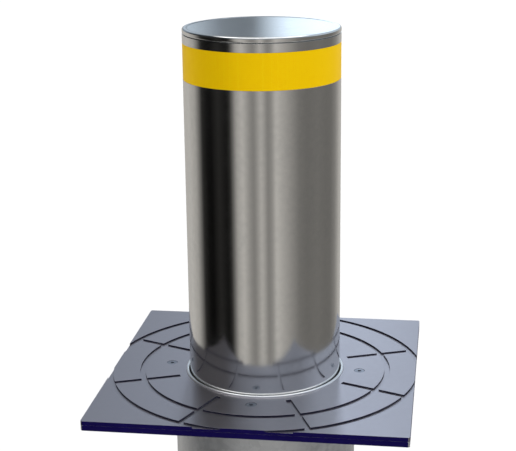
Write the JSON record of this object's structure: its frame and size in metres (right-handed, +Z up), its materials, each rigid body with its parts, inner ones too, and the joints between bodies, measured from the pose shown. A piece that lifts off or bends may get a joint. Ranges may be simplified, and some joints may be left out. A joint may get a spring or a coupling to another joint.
{
  "type": "retractable bollard",
  "caption": "Polished steel traffic bollard with an amber band that a hydraulic ram raises from a ground casing through a square cover plate.",
  "frame": {"origin": "on the bollard's axis, in the plane of the casing flange's underside, which rests on the pavement", "axes": "+Z up along the bollard's axis, -Y towards the drain spigot, +Y towards the conduit spigot"},
  "size_m": [0.44, 0.44, 1.4936],
  "materials": {
    "polished_stainless": "polished stainless steel, faint turning marks",
    "reflective_amber": "amber retroreflective film",
    "satin_cover": "satin blasted steel, blue-grey",
    "zinc_fastener": "bright zinc plated",
    "galvanised_steel": "hot-dip galvanised, spangled",
    "black_rubber": "black rubber",
    "guide_nylon": "natural nylon",
    "bronze": "machined bronze",
    "ground_steel": "hard chromed, ground",
    "ram_paint": "black paint",
    "pump_alloy": "machined and anodised",
    "motor_paint": "blue-grey enamel",
    "copper_winding": "lacquered copper wire",
    "core_steel": "laminated steel",
    "black_plastic": "black moulded plastic",
    "tank_plastic": "translucent white moulded plastic",
    "pipe_steel": "zinc plated tube",
    "box_plastic": "grey moulded plastic",
    "switch_brass": "nickel plated brass",
    "red_plastic": "red moulded plastic"
  },
  "bodies": {
    "casing": {"cover_plate": "satin_cover", "cover_screws": "zinc_fastener", "bore_trim_ring": "polished_stainless", "wiper_seal": "black_rubber", "upper_guide_bush": "guide_nylon", "guide_housing": "galvanised_steel", "casing_flange": "galvanised_steel", "casing_tube": "galvanised_steel", "sump_drum": "galvanised_steel", "pipe_spigots": "galvanised_steel", "joint_flanges": "galvanised_steel", "joint_bolts": "zinc_fastener", "pump_deck": "galvanised_steel", "base_plate": "galvanised_steel", "concrete_anchors": "galvanised_steel", "guide_rods": "ground_steel", "guide_rod_nuts": "zinc_fastener", "lower_buffers": "black_rubber", "ram_foot": "ram_paint", "ram_barrel": "ram_paint", "ram_gland": "ram_paint", "rod_seal": "black_rubber", "pump_body": "pump_alloy", "pump_cover": "pump_alloy", "pump_mounts": "black_rubber", "valve_block": "pump_alloy", "solenoid_coil": "black_plastic", "relief_valve": "zinc_fastener", "motor_housing": "motor_paint", "motor_end_cover": "motor_paint", "stator_winding": "copper_winding", "motor_bearings": "ground_steel", "oil_tank": "tank_plastic", "filler_cap": "black_plastic", "pressure_pipe": "pipe_steel", "suction_pipe": "pipe_steel", "ram_union": "zinc_fastener", "junction_box": "box_plastic", "junction_box_lid": "box_plastic", "cable_gland": "black_plastic", "limit_switches": "switch_brass", "switch_bracket": "zinc_fastener"},
    "bollard": {"bollard_tube": "polished_stainless", "reflective_band": "reflective_amber", "top_cap": "polished_stainless", "lift_plate": "galvanised_steel", "skirt_flange": "galvanised_steel", "lower_guide_ring": "guide_nylon", "stop_buffer": "black_rubber", "crosshead": "galvanised_steel", "guide_bushes": "bronze", "ram_rod": "ground_steel", "ram_piston": "ground_steel", "piston_seal": "black_rubber", "rod_nut": "zinc_fastener"},
    "pump_rotor": {"motor_shaft": "ground_steel", "rotor_core": "core_steel", "drive_gear": "bronze"},
    "pump_idler": {"idler_gear": "bronze"},
    "lowering_valve": {"lowering_knob": "red_plastic"}
  },
  "joints": [
    {"name": "bollard_lift", "type": "slide", "parent": "casing", "child": "bollard", "axis": [0, 0, 1], "range_m": [-0.5, 0]},
    {"name": "pump_spin", "type": "hinge", "parent": "casing", "child": "pump_rotor", "pos_m": [-0.048, 0, -0.88], "axis": [0, 0, 1], "continuous": true},
    {"name": "idler_spin", "type": "hinge", "parent": "casing", "child": "pump_idler", "pos_m": [-0.048, 0.03, -0.94], "axis": [0, 0, 1], "continuous": true},
    {"name": "lowering_turn", "type": "hinge", "parent": "casing", "child": "lowering_valve", "pos_m": [-0.09, 0, -0.9051], "axis": [1, 0, 0], "range_deg": [0, 270]}
  ],
  "couplings": [
    {"joint": "idler_spin", "follows": "pump_spin", "ratio": -1}
  ]
}
